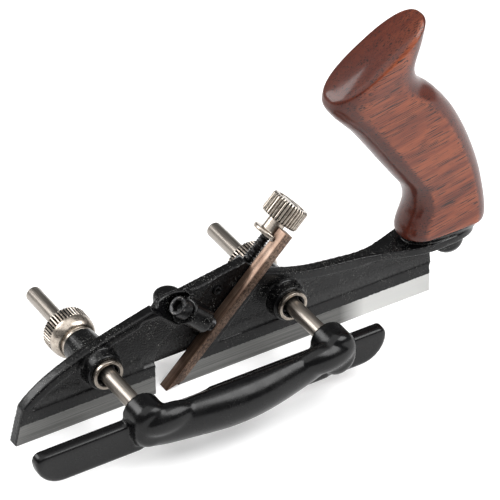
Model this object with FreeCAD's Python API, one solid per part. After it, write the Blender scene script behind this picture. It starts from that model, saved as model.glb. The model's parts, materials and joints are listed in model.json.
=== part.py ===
import FreeCAD, Part
import math
import os

Vec = FreeCAD.Vector

# Frame: X from toe to heel, Y to the plane's right, Z up; origin under the toe, mid skate, on the sole.

# skate and plate
skate_length = 228.0
skate_width = 4.0
skate_height = 10.3
plate_left = -2.0
plate_right = 4.0
nose_length = 8.0
band_height = 16.5
panel_depth = 1.8

# blade, bedded bevel down
bed_angle = 45.0
mouth_front = 74.3
blade_face_x = 78.8
blade_width = 6.35
blade_thick = 5.0
blade_length = 91.7
bevel_angle = 30.0
slot_centre = 87.4

# right-hand wall beside the blade
wall_left = 3.7
wall_right = 9.5
wall_bottom = 13.3
wall_end = 127.0
wall_height = 52.6

# fence rods, collets and nuts
rod_diameter = 8.0
rod_height = 28.3
front_rod_x = 45.2
rod_spacing = 99.5
rod_tip = 63.6
collet_diameter = 12.0
collet_flange = 15.7
boss_left = -7.9
boss_right = 17.4
boss_diameter = 20.0
nut_diameter = 23.2
nut_end = 32.6

# fence
fence_face = -39.0
fence_thick = 6.0
fence_left = -10.5
fence_right = 174.8
fence_bottom = 9.2
fence_top = 26.8
fence_boss_radius = 9.3
fence_boss_depth = 14.0
fence_boss_foot = 24.0

# adjuster
adjuster_y = 9.0
adjuster_pitch_diameter = 5.0
collar_diameter = 16.0
collar_thick = 2.2
neck_diameter = 9.0
knob_diameter = 19.5
knob_length = 10.6
knob_gap = 3.6
adjuster_boss_end = 71.0

# clamp screw, square to the blade face
clamp_reach = 38.0
clamp_head_gap = 19.3
clamp_head_diameter = 10.0
clamp_head_length = 6.0
clamp_shank = 6.0
clamp_lug_radius = 6.4
pocket_radius = 7.7

# depth stop on the right side
stop_x = 88.7
stop_y = 10.9
stop_post_diameter = 7.0
stop_boss_radius = 7.0
stop_boss_bottom = 14.5
stop_boss_top = 45.5
stop_foot_height = 10.2
stop_lock_z = 21.0

# handle and its bolt
handle_y = 1.0
seat_height = 37.5
platform_bottom = 30.5
bolt_angle = 72.0
bolt_x = 238.0
bolt_diameter = 6.0

# clearances
run_fit = 0.05
bearing_gap = 0.06
side_gap = 0.2

rear_rod_x = front_rod_x + rod_spacing
slope = math.radians(bed_angle)
blade_run = Vec(math.cos(slope), 0, math.sin(slope))
blade_back = Vec(math.sin(slope), 0, -math.cos(slope))
edge_point = Vec(blade_face_x, 0, 0)
side = Vec(0, 1, 0)
up = Vec(0, 0, 1)


def prism(points, y_from, y_to):
    """Solid from an outline in X and Z, swept along Y."""
    corners = [Vec(x, y_from, z) for x, z in points]
    outline = Part.makePolygon(corners + corners[:1])
    return Part.Face(outline).extrude(Vec(0, y_to - y_from, 0))


def curved_prism(curve_points, corner_points, y_from, y_to):
    """Solid whose upper edge is a smooth curve and whose other edges are straight."""
    curve = Part.BSplineCurve()
    curve.interpolate([Vec(x, y_from, z) for x, z in curve_points])
    first = curve_points[0]
    last = curve_points[-1]
    chain = [last] + corner_points + [first]
    corners = [Vec(x, y_from, z) for x, z in chain]
    outline = Part.Wire([curve.toShape()] + Part.makePolygon(corners).Edges)
    return Part.Face(outline).extrude(Vec(0, y_to - y_from, 0))


def bar(start, direction, radius, length):
    return Part.makeCylinder(radius, length, start, direction)


def cone(start, direction, radius_from, radius_to, length):
    return Part.makeCone(radius_from, radius_to, length, start, direction)


def join(first, *others):
    return first.multiFuse(list(others)).removeSplitter()


def along_blade(distance, across=0.0, behind=0.0):
    """Point at a distance up the blade from its edge, across in Y, behind the face."""
    return edge_point + blade_run * distance + side * across + blade_back * behind


def hex_socket(start, direction, width, depth):
    """Hexagonal prism used to cut a key socket."""
    turn = FreeCAD.Rotation(up, direction)
    corners = []
    for step in range(6):
        angle = math.radians(60 * step)
        spoke = Vec(math.cos(angle), math.sin(angle), 0) * (width / math.sqrt(3))
        corners.append(start + turn.multVec(spoke))
    outline = Part.makePolygon(corners + corners[:1])
    return Part.Face(outline).extrude(direction * depth)


def revolve_steps(start, direction, steps):
    """Turned part: each step is (distance, radius) along the axis."""
    turn = FreeCAD.Rotation(up, direction)
    profile = [Vec(0, 0, steps[0][0])]
    profile += [Vec(radius, 0, distance) for distance, radius in steps]
    profile.append(Vec(0, 0, steps[-1][0]))
    outline = Part.makePolygon(profile + profile[:1])
    solid = Part.Face(outline).revolve(Vec(0, 0, 0), up, 360)
    solid.Placement = FreeCAD.Placement(start, turn)
    return solid


def save(shape, node):
    shape.exportStep("parts/" + node + ".step")


# clamp screw axis: meets the blade face at clamp_reach and points up and forward
clamp_foot = along_blade(clamp_reach)
clamp_out = blade_back * -1

bolt_slope = math.radians(bolt_angle)
bolt_up = Vec(-math.cos(bolt_slope), 0, math.sin(bolt_slope))
bolt_seat = Vec(bolt_x, handle_y, platform_bottom)

bed_start = blade_face_x + (blade_thick + bearing_gap) * math.sqrt(2)
arm_end = 34.0
top_front = [(4.6, 18.8), (12.6, 25.7), (23.1, 31.7), (47.8, 41.0), (76.0, 48.6)]
top_rear = [(bed_start + 47.5, 47.5), (144.0, 43.4), (157.0, 39.3), (174.0, 36.6), (196.0, 34.3)]
top_rear += [(206.0, arm_end)]


def front_plate():
    """Plate ahead of the throat, closed by a line parallel to the blade."""
    face_line = 53.7
    corners = [(96.0, 50.2), (96.0, 96.0 - face_line), (mouth_front, 20.6), (mouth_front, 0.0), (0.0, 0.0)]
    plate = curved_prism(top_front, corners, plate_left, plate_right)
    throat = [edge for edge in plate.Edges
              if all(abs(v.X - mouth_front) < 0.01 and abs(v.Z - 20.6) < 0.01 for v in edge.Vertexes)]
    return plate.makeFillet(20.0, throat)


def rear_plate():
    """Plate behind the blade, carrying the bed, the arm and the heel."""
    corners = [(skate_length, arm_end), (skate_length, 0.0), (bed_start, 0.0)]
    return curved_prism(top_rear, corners, plate_left, plate_right)


def side_wall():
    """Wall on the right that joins front and rear past the blade."""
    points = [(72.0, wall_bottom), (72.0, 34.0), (81.0, 45.6), (94.0, 47.2), (wall_end, wall_height)]
    points += [(wall_end + 8.0, wall_height - 8.0), (141.0, 39.5), (152.0, 33.0), (152.0, wall_bottom)]
    return prism(points, wall_left, wall_right)


def panels():
    """Shallow recesses in the left face of the plate and the matching ones on the right."""
    front = [(9.5, band_height), (9.5, 18.5), (23.5, 26.5), (46.0, 35.5), (72.0, 42.5), (84.0, 30.3)]
    front += [(76.0, 21.0), (76.0, band_height)]
    rear = [(107.0, band_height), (131.0, 40.0), (140.0, 38.5), (157.0, 33.6), (174.0, 31.0), (192.0, 28.6)]
    rear += [(229.0, 27.6), (229.0, band_height)]
    front_right = front[:4] + [(58.0, 38.0), (58.0, band_height)]
    rear_right = [(168.0, band_height), (168.0, 31.0), (192.0, 28.6), (229.0, 27.6), (229.0, band_height)]
    cuts = [prism(outline, plate_left - 1.0, plate_left + panel_depth) for outline in (front, rear)]
    for outline in (front_right, rear_right):
        cuts.append(prism(outline, plate_right - panel_depth, plate_right + 1.0))
    return cuts


def rod_boss(x):
    """Boss through the plate for one collet, wider where it meets the plate."""
    left = cone(Vec(x, boss_left, rod_height), side, boss_diameter / 2 - 0.9, boss_diameter / 2, -boss_left)
    right = cone(Vec(x, 0, rod_height), side, boss_diameter / 2, boss_diameter / 2 - 1.2, boss_right)
    return left.fuse(right)


def platform():
    """Widening arm top and the seat the handle stands on."""
    outline = [(150.0, 2.4), (180.0, 2.6), (196.0, 4.4), (206.0, 7.0), (216.0, 10.4)]
    outline += [(230.0, 11.8), (243.0, 10.6), (250.5, 6.5), (252.5, 0.0)]
    near = [Vec(x, handle_y - half, 0) for x, half in outline]
    far = [Vec(x, handle_y + half, 0) for x, half in outline[:-1]]
    curve = Part.BSplineCurve()
    curve.interpolate(near + far[::-1])
    rim = Part.Wire([curve.toShape(), Part.makeLine(far[0], near[0])])
    column = Part.Face(rim).extrude(Vec(0, 0, 60))
    under = [(262.0, arm_end), (262.0, platform_bottom), (206.0, 29.6), (180.0, 31.0), (140.0, 38.0)]
    top = curved_prism(top_rear, under, -20.0, 20.0)
    low = seat_outline(seat_height - 4.5, 0.86)
    high = seat_outline(seat_height, 1.0)
    seat = Part.makeLoft([low, high], True)
    return column.common(top).fuse(seat)


def seat_outline(height, scale):
    """Oval footprint of the handle, as a closed wire at one height."""
    points = []
    for step in range(24):
        angle = 2 * math.pi * step / 24
        x = 234.8 + 23.0 * scale * rounded(math.cos(angle), 2.5)
        y = handle_y + 11.8 * scale * rounded(math.sin(angle), 2.5)
        points.append(Vec(x, y, height))
    curve = Part.BSplineCurve()
    curve.interpolate(points, PeriodicFlag=True)
    return Part.Wire([curve.toShape()])


def rounded(value, power):
    """Signed power that turns a circle into a rounded oval."""
    return math.copysign(abs(value) ** (2.0 / power), value)


def bolt_boss():
    """Boss under the platform, in line with the handle bolt."""
    low = bolt_seat - bolt_up * 10.0
    stem = bar(low + bolt_up * 3.0, bolt_up, 8.0, 9.0)
    dome = cone(low, bolt_up, 6.0, 8.0, 3.0)
    return stem.fuse(dome)


def body_casting():
    shape = join(front_plate(), rear_plate())
    for cut in panels():
        shape = shape.cut(cut)
    lug = bar(clamp_foot + clamp_out * 5.5, clamp_out, clamp_lug_radius, clamp_head_gap - 5.7)
    stop_boss = bar(Vec(stop_x, stop_y, stop_boss_bottom), up, stop_boss_radius,
                    stop_boss_top - stop_boss_bottom)
    rims = [edge for edge in stop_boss.Edges if edge.BoundBox.ZMin > stop_boss_top - 0.1]
    stop_boss = stop_boss.makeFillet(2.4, rims)
    stud_boss = bar(along_blade(50.0, adjuster_y, blade_thick / 2), blade_run, 5.4, adjuster_boss_end - 50.0)
    adds = [side_wall(), lug, stop_boss, stud_boss, platform(), bolt_boss()]
    adds += [rod_boss(front_rod_x), rod_boss(rear_rod_x)]
    shape = join(shape, *adds)

    # blade channel and the open throat ahead of it
    half = blade_width / 2 + side_gap
    back = blade_thick + bearing_gap
    channel_points = [along_blade(-12.0), along_blade(120.0), along_blade(120.0, 0, back),
                      along_blade(-12.0, 0, back)]
    channel = prism([(p.x, p.z) for p in channel_points], -20.0, half)
    shape = shape.cut(channel)

    # narrow skate under the plate
    shape = shape.cut(Part.makeBox(300, 20, skate_height + 0.01, Vec(nose_length, skate_width / 2, -0.01)))

    # screw pocket, bores and threads as plain holes
    pocket = bar(clamp_foot + clamp_out * clamp_head_gap, clamp_out, pocket_radius, 30.0)
    shape = shape.cut(pocket)
    shape = shape.cut(bar(clamp_foot, clamp_out, clamp_shank / 2 + run_fit, 40.0))
    shape = shape.cut(bar(clamp_foot, clamp_out, 3.6 + run_fit, 8.0))
    for x in (front_rod_x, rear_rod_x):
        shape = shape.cut(bar(Vec(x, -20, rod_height), side, collet_diameter / 2 + run_fit, 60))
    stud_hole = bar(along_blade(45.0, adjuster_y, blade_thick / 2), blade_run,
                    adjuster_pitch_diameter / 2 + run_fit, 40.0)
    shape = shape.cut(stud_hole)
    shape = shape.cut(bar(Vec(stop_x, stop_y, 0), up, stop_post_diameter / 2 + run_fit, 43.0))
    shape = shape.cut(bar(Vec(stop_x, stop_y, stop_lock_z), side, 2.5 + run_fit, 20.0))
    shape = shape.cut(bar(Vec(111.3, 0, 42.2), side, 2.0, 20.0))
    shape = shape.cut(bar(bolt_seat - bolt_up * 20, bolt_up, bolt_diameter / 2 + 0.2, 60.0))
    shape = shape.cut(bar(bolt_seat - bolt_up * 20, bolt_up, 5.8, 16.0))
    return shape


def rod(x):
    shape = bar(Vec(x, fence_face - 11.0, rod_height), side, rod_diameter / 2, rod_tip - fence_face + 11.0)
    return shape.makeChamfer(0.7, [edge for edge in shape.Edges if len(edge.Vertexes) == 1])


def collet(x):
    """Split sleeve with a wide lip on the fence side."""
    lip_start = boss_left - 2.4
    lip = bar(Vec(x, lip_start, rod_height), side, collet_flange / 2, 2.2)
    sleeve = bar(Vec(x, lip_start, rod_height), side, collet_diameter / 2, nut_end - 3.0 - lip_start)
    shape = lip.fuse(sleeve).removeSplitter()
    shape = shape.cut(bar(Vec(x, -60, rod_height), side, rod_diameter / 2 + run_fit, 160))
    shape = shape.cut(cone(Vec(x, lip_start - 0.01, rod_height), side, 5.6, rod_diameter / 2, 2.4))
    for turn in (0, 120, 240):
        slit = Part.makeBox(10.0, 22.0, 0.8, Vec(0, nut_end - 25.0, -0.4))
        slit.rotate(Vec(0, 0, 0), side, 90 + turn)
        slit.translate(Vec(x, 0, rod_height))
        shape = shape.cut(slit)
    return shape


def collet_nut(x):
    """Turned nut: bearing ring, swelling waist, knurled band."""
    start = boss_right + bearing_gap
    length = nut_end - start
    edge = nut_diameter / 2
    steps = [(0.0, 8.6), (1.4, 8.6), (1.6, 8.1), (2.1, 8.1), (2.3, 9.2), (3.6, 10.3), (5.2, 11.0)]
    steps += [(7.0, edge - 0.3), (7.4, edge), (length - 0.6, edge), (length, edge - 0.6)]
    shape = revolve_steps(Vec(x, start, rod_height), side, steps)
    shape = shape.cut(bar(Vec(x, 0, rod_height), side, collet_diameter / 2 + run_fit, 60))
    return shape.cut(cone(Vec(x, nut_end - 1.5, rod_height), side, collet_diameter / 2, 8.5, 1.51))


def fence_boss(x):
    """Upright boss that holds one rod end, round over the rod."""
    depth = fence_boss_depth
    crown = bar(Vec(x, fence_face - depth, rod_height), side, fence_boss_radius, depth)
    foot = bar(Vec(x, fence_face - depth, fence_boss_foot), side, fence_boss_radius, depth)
    leg = Part.makeBox(2 * fence_boss_radius, depth, rod_height - fence_boss_foot,
                       Vec(x - fence_boss_radius, fence_face - depth, fence_boss_foot))
    shape = join(crown, leg, foot)
    ends = [edge for edge in shape.Edges if edge.BoundBox.YMax < fence_face - depth + 0.1]
    return shape.makeFillet(4.5, ends)


def grip_section(x, reach, low):
    """Closed outline of the grip bar at one X: flat back, ridge on top, round belly."""
    back = fence_face - 0.6
    points = [(back, 26.2), (-45.0, 30.4), (-50.0, 32.8), (-50.0 - 0.55 * (reach - 50.0), 30.8)]
    points += [(-reach, 0.5 * (33.0 + low) + 1.5), (-reach + 1.8, low + 4.5), (-reach + 6.0, low + 0.6)]
    points += [(-reach + 10.0, low)]
    points = [Vec(x, y, z) for y, z in points]
    curve = Part.BSplineCurve()
    curve.interpolate(points)
    foot = Vec(x, back, low + 1.0)
    return Part.Wire([curve.toShape()] + Part.makePolygon([points[-1], foot, points[0]]).Edges)


def fence_casting():
    plate = Part.makeBox(fence_right - fence_left, fence_thick, fence_top - fence_bottom,
                         Vec(fence_left, fence_face - fence_thick, fence_bottom))
    lower = [edge for edge in plate.Edges if edge.Length < fence_thick + 0.1
             and abs(edge.Vertexes[0].Y - edge.Vertexes[1].Y) > 1 and edge.BoundBox.ZMax < fence_bottom + 0.1]
    plate = plate.makeFillet(13.5, lower)
    upper = [edge for edge in plate.Edges if edge.Length < fence_thick + 0.1
             and edge.BoundBox.ZMin > fence_top - 0.1 and edge.BoundBox.YLength > 1]
    plate = plate.makeFillet(4.0, upper)
    rim = [edge for edge in plate.Edges if edge.BoundBox.YMax < fence_face - fence_thick + 0.1]
    plate = plate.makeFillet(2.0, rim)
    stations = [(38.0, 51.0, 14.5), (45.2, 53.5, 12.5), (63.0, 56.5, 11.5), (84.0, 58.5, 10.6)]
    stations += [(103.0, 58.0, 11.2), (124.0, 55.0, 13.5), (144.7, 52.8, 18.5), (153.0, 51.0, 20.0)]
    grip = Part.makeLoft([grip_section(*station) for station in stations], True)
    shape = join(plate, grip, fence_boss(front_rod_x), fence_boss(rear_rod_x))
    relief = bar(Vec(71.0, fence_face + 33.4, 0), up, 35.0, 60.0)
    shape = shape.cut(relief)
    for x in (front_rod_x, rear_rod_x):
        shape = shape.cut(bar(Vec(x, fence_face - 11.0, rod_height), side, rod_diameter / 2, 20.0))
        shape = shape.cut(bar(Vec(x, fence_face - 7.0, 0), up, 2.5, rod_height))
    return shape


def rod_screw(x):
    """Grub screw under the fence that locks one rod."""
    start = Vec(x, fence_face - 7.0, fence_boss_foot - 7.0)
    shape = bar(start, up, 2.5, rod_height - rod_diameter / 2 - fence_boss_foot + 7.0)
    return shape.cut(hex_socket(start, up, 2.5, 3.0))


def blade():
    heel = blade_thick / math.tan(math.radians(bevel_angle))
    points = [along_blade(0.0), along_blade(blade_length), along_blade(blade_length, 0, blade_thick),
              along_blade(heel, 0, blade_thick)]
    shape = prism([(p.x, p.z) for p in points], -blade_width / 2, blade_width / 2)
    crown = [edge for edge in shape.Edges if edge.BoundBox.YLength > 1
             and edge.BoundBox.ZMin > along_blade(blade_length, 0, blade_thick).z - 0.1]
    shape = shape.makeFillet(1.2, crown)
    gap = collar_thick / 2 + 0.1
    slot_points = [along_blade(slot_centre - gap, 0, -1), along_blade(slot_centre + gap, 0, -1),
                   along_blade(slot_centre + gap, 0, blade_thick + 1),
                   along_blade(slot_centre - gap, 0, blade_thick + 1)]
    return shape.cut(prism([(p.x, p.z) for p in slot_points], adjuster_y - collar_diameter / 2 - 0.5, 10.0))


def adjuster_stud():
    start = along_blade(54.0, adjuster_y, blade_thick / 2)
    return bar(start, blade_run, adjuster_pitch_diameter / 2, knob_start() + 4.0 - 54.0)


def knob_start():
    return blade_length + knob_gap


def adjuster_collar():
    """Disc that rides in the blade slot, with the neck up to the knob."""
    start = along_blade(slot_centre - collar_thick / 2, adjuster_y, blade_thick / 2)
    neck = knob_start() - slot_centre + collar_thick / 2
    edge = collar_diameter / 2
    steps = [(0.0, edge - 0.4), (0.4, edge), (collar_thick - 0.4, edge), (collar_thick, edge - 0.4)]
    steps += [(collar_thick, neck_diameter / 2), (neck, neck_diameter / 2)]
    shape = revolve_steps(start, blade_run, steps)
    return shape.cut(bar(start - blade_run, blade_run, adjuster_pitch_diameter / 2, 30.0))


def adjuster_knob():
    start = along_blade(knob_start(), adjuster_y, blade_thick / 2)
    edge = knob_diameter / 2
    steps = [(0.0, edge - 0.7), (0.7, edge), (knob_length - 0.7, edge), (knob_length, edge - 0.7)]
    shape = revolve_steps(start, blade_run, steps)
    shape = shape.cut(bar(start + blade_run * (knob_length - 1.0), blade_run, edge - 2.6, 2.0))
    return shape.cut(bar(start - blade_run, blade_run, adjuster_pitch_diameter / 2, 5.0))


def clamp_screw():
    base = clamp_foot + clamp_out * (clamp_head_gap + bearing_gap + 0.3)
    head = bar(base, clamp_out, clamp_head_diameter / 2, clamp_head_length)
    top = [edge for edge in head.Edges if edge.BoundBox.ZMax > head.BoundBox.ZMax - 0.1]
    head = head.makeChamfer(0.5, top[:1])
    start = clamp_foot + clamp_out * 2.6
    shank = bar(start, clamp_out, clamp_shank / 2, clamp_head_gap - 2.2)
    shape = head.fuse(shank).removeSplitter()
    return shape.cut(hex_socket(base + clamp_out * (clamp_head_length - 3.0), clamp_out, 5.0, 4.0))


def clamp_pad():
    start = clamp_foot + clamp_out * bearing_gap
    shape = bar(start, clamp_out, 3.6, 4.2)
    return shape.cut(bar(clamp_foot + clamp_out * 2.4, clamp_out, clamp_shank / 2 + run_fit, 4.0))


def wall_grub_screw():
    start = Vec(111.3, wall_left - 0.8, 42.2)
    shape = bar(start, side, 2.0, 6.0)
    return shape.cut(hex_socket(start, side, 2.0, 1.8))


def depth_post():
    return bar(Vec(stop_x, stop_y, stop_foot_height + 1.0), up, stop_post_diameter / 2, 28.0)


def depth_foot():
    """Shoe beside the skate that stops on the work."""
    plate = Part.makeBox(40.0, 7.0, 3.0, Vec(stop_x - 20.0, wall_right + 0.4, stop_foot_height))
    ends = [edge for edge in plate.Edges if abs(edge.Vertexes[0].Z - edge.Vertexes[1].Z) > 1]
    plate = plate.makeFillet(3.0, ends)
    plate = plate.cut(bar(Vec(stop_x, stop_y, stop_foot_height + 1.0), up, stop_post_diameter / 2, 20.0))
    return plate.cut(bar(Vec(stop_x, stop_y, 0), up, 1.6, 20.0))


def depth_foot_screw():
    """Countersunk screw that holds the foot on the post."""
    start = Vec(stop_x, stop_y, stop_foot_height + 0.2)
    return bar(start, up, 1.6, 0.8)


def depth_lock_pad():
    start = stop_y + stop_post_diameter / 2 + bearing_gap
    return bar(Vec(stop_x, start, stop_lock_z), side, 2.4, 1.4)


def depth_lock_knob():
    start = stop_y + stop_post_diameter / 2 + bearing_gap + 1.4
    reach = stop_y + stop_boss_radius + 0.4 - start
    steps = [(0.0, 2.5), (reach, 2.5), (reach, 4.0), (reach + 1.2, 4.0)]
    steps += [(reach + 1.2, 6.3), (reach + 7.2, 6.3)]
    return revolve_steps(Vec(stop_x, start, stop_lock_z), side, steps)


def handle_section(front, back, half_width):
    """Rounded outline of the handle between a front point and a back point."""
    centre_x = 0.5 * (front[0] + back[0])
    centre_z = 0.5 * (front[1] + back[1])
    points = []
    for step in range(20):
        angle = 2 * math.pi * step / 20
        along = 0.5 * rounded(math.cos(angle), 2.5)
        x = centre_x + along * (back[0] - front[0])
        z = centre_z + along * (back[1] - front[1])
        points.append(Vec(x, handle_y + half_width * rounded(math.sin(angle), 2.5), z))
    curve = Part.BSplineCurve()
    curve.interpolate(points, PeriodicFlag=True)
    return Part.Wire([curve.toShape()])


def handle():
    """Grip lofted through sections that tip forward towards the top."""
    foot = seat_height + 0.01
    stations = [((211.0, foot), (258.3, foot), 12.0), ((211.5, 42.5), (258.2, 43.5), 12.2)]
    stations += [((215.2, 54.0), (256.6, 54.0), 11.8), ((213.2, 64.5), (253.4, 68.0), 12.0)]
    stations += [((206.5, 74.5), (248.6, 82.0), 12.5), ((199.0, 85.0), (243.0, 95.0), 12.8)]
    stations += [((191.0, 96.5), (236.0, 107.5), 12.8), ((183.0, 107.5), (226.5, 119.5), 12.6)]
    stations += [((176.8, 114.5), (216.3, 129.5), 12.5), ((172.4, 119.5), (212.4, 139.5), 12.8)]
    stations += [((169.0, 125.0), (218.0, 152.5), 13.4), ((169.8, 128.8), (219.8, 159.2), 13.0)]
    stations += [((173.2, 133.0), (217.0, 161.0), 11.2)]
    return Part.makeLoft([handle_section(*station) for station in stations], True)


def handle_with_holes():
    shape = handle()
    shape = shape.cut(bar(bolt_seat, bolt_up, bolt_diameter / 2 + 0.2, 44.0))
    return shape.cut(bar(bolt_seat + bolt_up * 18.0, bolt_up, 5.0, 24.0))


def handle_insert():
    shape = bar(bolt_seat + bolt_up * 18.0, bolt_up, 5.0, 22.0)
    return shape.cut(bar(bolt_seat, bolt_up, bolt_diameter / 2, 60.0))


def handle_bolt():
    start = bolt_seat - bolt_up * 5.0
    head = bar(start - bolt_up * 5.0, bolt_up, 5.0, 5.0)
    shank = bar(start, bolt_up, bolt_diameter / 2, 42.0)
    shape = head.fuse(shank).removeSplitter()
    return shape.cut(hex_socket(start - bolt_up * 5.0, bolt_up, 4.0, 2.5))


def handle_washer():
    start = bolt_seat - bolt_up * 5.0
    shape = bar(start, bolt_up, 5.5, 1.0)
    return shape.cut(bar(start, bolt_up, bolt_diameter / 2, 2.0))


os.makedirs("parts", exist_ok=True)
save(body_casting(), "body_casting")
for name, x in (("front", front_rod_x), ("rear", rear_rod_x)):
    save(rod(x), name + "_rod")
    save(collet(x), name + "_collet")
    save(collet_nut(x), name + "_collet_nut")
    save(rod_screw(x), name + "_rod_screw")
save(fence_casting(), "fence_casting")
save(blade(), "blade")
save(adjuster_stud(), "adjuster_stud")
save(adjuster_collar(), "adjuster_collar")
save(adjuster_knob(), "adjuster_knob")
save(clamp_screw(), "clamp_screw")
save(clamp_pad(), "clamp_pad")
save(wall_grub_screw(), "wall_grub_screw")
save(depth_post(), "depth_post")
save(depth_foot(), "depth_foot")
save(depth_foot_screw(), "depth_foot_screw")
save(depth_lock_pad(), "depth_lock_pad")
save(depth_lock_knob(), "depth_lock_knob")
save(handle_with_holes(), "handle")
save(handle_insert(), "handle_insert")
save(handle_bolt(), "handle_bolt")
save(handle_washer(), "handle_washer")
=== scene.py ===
import json
import math
import bpy
import bmesh
from mathutils import Matrix, Vector


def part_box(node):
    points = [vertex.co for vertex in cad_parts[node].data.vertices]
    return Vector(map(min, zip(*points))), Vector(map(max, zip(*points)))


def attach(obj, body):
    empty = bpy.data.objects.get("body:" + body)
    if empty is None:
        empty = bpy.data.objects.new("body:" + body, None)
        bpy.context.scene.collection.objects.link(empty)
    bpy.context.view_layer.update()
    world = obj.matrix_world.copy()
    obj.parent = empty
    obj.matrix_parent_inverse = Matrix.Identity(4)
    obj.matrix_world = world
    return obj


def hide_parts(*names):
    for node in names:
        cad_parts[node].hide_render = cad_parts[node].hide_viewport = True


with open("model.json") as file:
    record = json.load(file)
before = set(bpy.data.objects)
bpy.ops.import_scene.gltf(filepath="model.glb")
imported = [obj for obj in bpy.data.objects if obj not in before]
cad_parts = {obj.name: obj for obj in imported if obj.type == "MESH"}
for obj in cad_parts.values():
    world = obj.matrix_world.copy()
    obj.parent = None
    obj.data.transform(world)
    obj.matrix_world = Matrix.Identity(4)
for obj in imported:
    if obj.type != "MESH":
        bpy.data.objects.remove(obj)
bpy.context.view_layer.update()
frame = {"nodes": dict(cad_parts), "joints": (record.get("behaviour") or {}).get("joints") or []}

nodes = frame["nodes"]
joints = {joint["name"]: joint for joint in frame["joints"]}
mm = 0.001
across = Vector((0, 1, 0))
upward = Vector((0, 0, 1))
perMm = 1 / mm


def toLinear(code):
    # sRGB hex to linear colour
    parts = [int(code[i:i + 2], 16) / 255 for i in (1, 3, 5)]
    return [p / 12.92 if p <= 0.04045 else ((p + 0.055) / 1.055) ** 2.4 for p in parts] + [1.0]


def addNode(tree, kind, settings=None, links=None, out=None):
    # hands back the node, or the output that is asked for
    node = tree.nodes.new(kind)
    for key, value in (settings or {}).items():
        if key == "stops":
            stops = node.color_ramp.elements
            stops.remove(stops[0])
            for i, (place, code) in enumerate(value):
                stop = stops.new(place) if i else stops[0]
                stop.position, stop.color = place, toLinear(code)
        elif isinstance(key, str) and hasattr(node, key):
            setattr(node, key, value)
        else:
            node.inputs[key].default_value = value
    for key, socket in (links or {}).items():
        tree.links.new(socket, node.inputs[key])
    return node if out is None else node.outputs[out]


def startMaterial(name):
    material = bpy.data.materials.new(name)
    material.use_nodes = True
    tree = material.node_tree
    tree.nodes.clear()
    return material, tree, addNode(tree, "ShaderNodeTexCoord", out="Object")


# ground tool steel: long fine grinding lines along the skate, kept dark ahead of the fence as a painted reflection of
# the black fence, and painted brighter past it
def groundSteel(tree, coords):
    look = {"colours": [(0.3, "#4c4c4b"), (0.7, "#7b7b79")], "reflectionColour": "#c4c4c2", "reflectionFrom": 176.0,
            "reflectionTo": 190.0, "lineWidth": 0.35, "lineLength": 60.0, "lineDepth": 0.01, "roughness": (0.3, 0.42)}
    ratio = look["lineWidth"] / look["lineLength"]
    along = addNode(tree, "ShaderNodeMapping", {"Scale": (ratio, 1.0, 1.0)}, {"Vector": coords}, "Vector")
    lines = addNode(tree, "ShaderNodeTexNoise",
                    {"Scale": perMm / look["lineWidth"], "Detail": 5.0, "Roughness": 0.7}, {"Vector": along}, "Fac")
    broad = addNode(tree, "ShaderNodeTexNoise",
                    {"Scale": perMm / (look["lineWidth"] * 5), "Detail": 2.0, "Roughness": 0.55},
                    {"Vector": along}, "Fac")
    colour = addNode(tree, "ShaderNodeValToRGB", {"stops": look["colours"]}, {"Fac": lines}, "Color")
    shade = addNode(tree, "ShaderNodeMapRange",
                    {"From Min": 0.3, "From Max": 0.7, "To Min": look["roughness"][0], "To Max": look["roughness"][1]},
                    {"Value": broad}, "Result")
    normal = addNode(tree, "ShaderNodeBump", {"Distance": look["lineDepth"] * mm, "Strength": 0.6},
                     {"Height": lines}, "Normal")
    # painted reflection: the part that runs past the fence is painted brighter, standing in for the open white floor
    # it reflects there
    place = addNode(tree, "ShaderNodeSeparateXYZ", links={"Vector": coords}, out="X")
    paintedReflection = addNode(tree, "ShaderNodeMapRange", {"From Min": look["reflectionFrom"] * mm, "From Max": look["reflectionTo"] * mm},
                   {"Value": place}, "Result")
    colour = addNode(tree, "ShaderNodeMix", {"data_type": "RGBA", 7: toLinear(look["reflectionColour"])},
                     {0: paintedReflection, 6: colour}, 2)
    return addNode(tree, "ShaderNodeBsdfPrincipled", {"Metallic": 1.0, "Anisotropic": 0.6},
                   {"Base Color": colour, "Roughness": shade, "Normal": normal}, "BSDF")


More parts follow.
